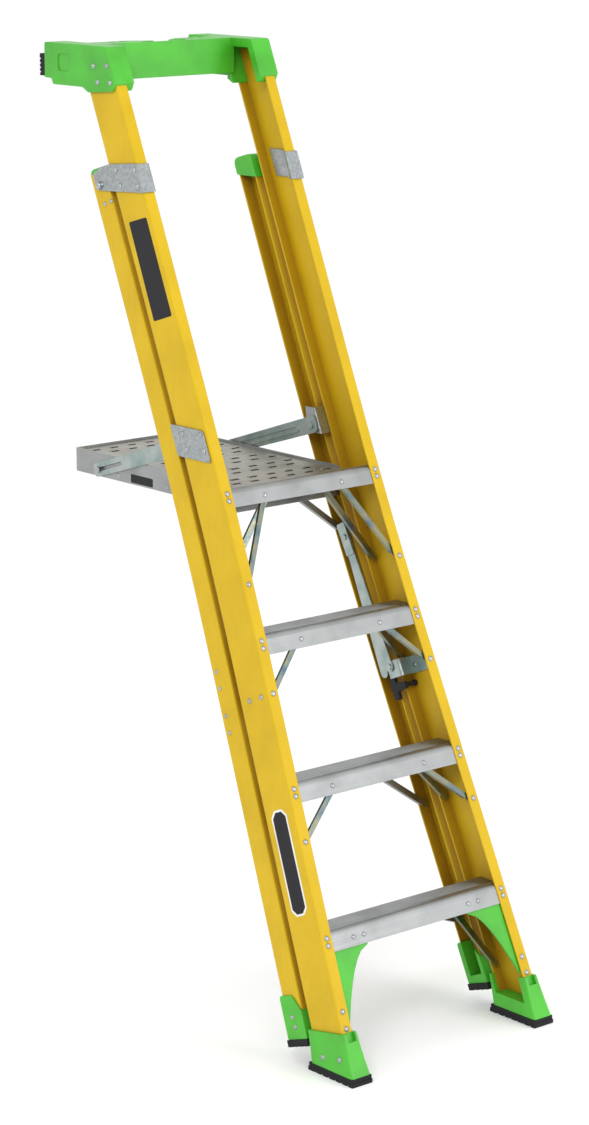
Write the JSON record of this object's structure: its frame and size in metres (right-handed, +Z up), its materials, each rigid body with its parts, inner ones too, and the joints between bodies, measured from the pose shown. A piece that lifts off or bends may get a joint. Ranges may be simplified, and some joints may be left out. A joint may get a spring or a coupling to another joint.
{
  "type": "platform step ladder",
  "caption": "Yellow fibreglass platform step ladder with a folding deck, green top cap and feet, leaning closed against a wall",
  "frame": {"origin": "middle of the bounding box in plan, on the floor", "axes": "+X across the ladder, +Y towards the wall, +Z up"},
  "size_m": [0.6058, 1.1724, 2.168],
  "materials": {
    "green_moulding": "moulded plastic, semi-gloss",
    "rubber": "ribbed, matte",
    "fibreglass": "pultruded glass fibre, satin",
    "aluminium_step": "mill finish extrusion",
    "aluminium_frame": "mill finish",
    "aluminium_deck": "embossed, perforated sheet",
    "zinc_brace": "zinc plated",
    "galvanised_bracket": "galvanised sheet",
    "zinc_link": "zinc plated",
    "black_plastic": "moulded",
    "stud_steel": "turned"
  },
  "bodies": {
    "front_frame": {"front_rail_left": "fibreglass", "front_rail_right": "fibreglass", "step_1": "aluminium_step", "step_2": "aluminium_step", "step_3": "aluminium_step", "platform_front_beam": "aluminium_step", "step_2_front_brace_left": "zinc_brace", "step_2_front_brace_right": "zinc_brace", "step_3_front_brace_left": "zinc_brace", "step_3_front_brace_right": "zinc_brace", "platform_front_brace_left": "zinc_brace", "platform_front_brace_right": "zinc_brace", "step_1_rear_brace_left": "zinc_brace", "step_1_rear_brace_right": "zinc_brace", "step_2_rear_brace_left": "zinc_brace", "step_2_rear_brace_right": "zinc_brace", "step_3_rear_brace_left": "zinc_brace", "step_3_rear_brace_right": "zinc_brace", "platform_rear_brace_left": "zinc_brace", "platform_rear_brace_right": "zinc_brace", "corner_brace_left": "green_moulding", "corner_brace_right": "green_moulding", "front_boot_left": "green_moulding", "front_boot_right": "green_moulding", "front_sole_left": "rubber", "front_sole_right": "rubber", "upper_bracket_left": "galvanised_bracket", "upper_bracket_right": "galvanised_bracket", "arm_bracket_left": "galvanised_bracket", "arm_bracket_right": "galvanised_bracket", "spreader_bracket_left": "zinc_link", "spreader_bracket_right": "zinc_link", "top_cap": "green_moulding", "wall_pad_left": "rubber", "wall_pad_right": "rubber", "platform_hinge_bracket_left": "galvanised_bracket", "platform_hinge_bracket_right": "galvanised_bracket"},
    "rear_frame": {"rear_rail_left": "fibreglass", "rear_rail_right": "fibreglass", "rear_crossbar_1": "aluminium_frame", "rear_crossbar_2": "aluminium_frame", "rear_crossbar_3": "aluminium_frame", "rear_boot_left": "green_moulding", "rear_boot_right": "green_moulding", "rear_sole_left": "rubber", "rear_sole_right": "rubber", "rear_rail_cap_left": "green_moulding", "rear_rail_cap_right": "green_moulding"},
    "platform": {"platform_frame": "aluminium_frame", "platform_deck": "aluminium_deck"},
    "latch": {"latch_lever": "black_plastic"},
    "arm_left": {"platform_arm_left": "zinc_link"},
    "stud_left": {"arm_stud_left": "stud_steel"},
    "front_link_left": {"spreader_front_link_left": "zinc_link"},
    "rear_link_left": {"spreader_rear_link_left": "zinc_link"},
    "arm_right": {"platform_arm_right": "zinc_link"},
    "stud_right": {"arm_stud_right": "stud_steel"},
    "front_link_right": {"spreader_front_link_right": "zinc_link"},
    "rear_link_right": {"spreader_rear_link_right": "zinc_link"}
  },
  "joints": [
    {"name": "rear_open", "type": "hinge", "parent": "front_frame", "child": "rear_frame", "pos_m": [0, 0.36684, 1.8563], "axis": [1, 0, 0], "range_deg": [0, 29.6]},
    {"name": "platform_fold", "type": "hinge", "parent": "front_frame", "child": "platform", "pos_m": [0, -0.00278, 1.195], "axis": [1, 0, 0], "range_deg": [0, 67.05]},
    {"name": "arm_left_swing", "type": "hinge", "parent": "front_frame", "child": "arm_left", "pos_m": [-0.1705, 0.10526, 1.296], "axis": [1, 0, 0], "range_deg": [0, 92.76]},
    {"name": "stud_left_slide", "type": "slide", "parent": "arm_left", "child": "stud_left", "axis": [0, -0.9523, 0.3053], "range_m": [0, 0.04352]},
    {"name": "front_link_left_turn", "type": "hinge", "parent": "front_frame", "child": "front_link_left", "pos_m": [-0.1968, -0.14214, 0.762], "axis": [1, 0, 0], "range_deg": [-66.98, 0]},
    {"name": "rear_link_left_turn", "type": "hinge", "parent": "rear_frame", "child": "rear_link_left", "pos_m": [-0.2008, -0.1214, 0.74301], "axis": [1, 0, 0], "range_deg": [0, 69.72]},
    {"name": "arm_right_swing", "type": "hinge", "parent": "front_frame", "child": "arm_right", "pos_m": [0.1705, 0.10526, 1.296], "axis": [1, 0, 0], "range_deg": [0, 92.76]},
    {"name": "stud_right_slide", "type": "slide", "parent": "arm_right", "child": "stud_right", "axis": [0, -0.9523, 0.3053], "range_m": [0, 0.04352]},
    {"name": "front_link_right_turn", "type": "hinge", "parent": "front_frame", "child": "front_link_right", "pos_m": [0.1968, -0.14214, 0.762], "axis": [1, 0, 0], "range_deg": [-66.98, 0]},
    {"name": "rear_link_right_turn", "type": "hinge", "parent": "rear_frame", "child": "rear_link_right", "pos_m": [0.2008, -0.1214, 0.74301], "axis": [1, 0, 0], "range_deg": [0, 69.72]},
    {"name": "latch_turn", "type": "hinge", "parent": "front_frame", "child": "latch", "pos_m": [0.205, -0.17578, 0.72359], "axis": [1, 0, 0], "range_deg": [-30, 0]}
  ],
  "couplings": [
    {"joint": "arm_left_swing", "follows": "platform_fold", "ratio": 1.376},
    {"joint": "stud_left_slide", "follows": "platform_fold", "m_per_rad": 0.036333},
    {"joint": "front_link_left_turn", "follows": "rear_open", "ratio": -2.2458},
    {"joint": "rear_link_left_turn", "follows": "rear_open", "ratio": 2.3385},
    {"joint": "arm_right_swing", "follows": "platform_fold", "ratio": 1.376},
    {"joint": "stud_right_slide", "follows": "platform_fold", "m_per_rad": 0.036333},
    {"joint": "front_link_right_turn", "follows": "rear_open", "ratio": -2.2458},
    {"joint": "rear_link_right_turn", "follows": "rear_open", "ratio": 2.3385}
  ]
}
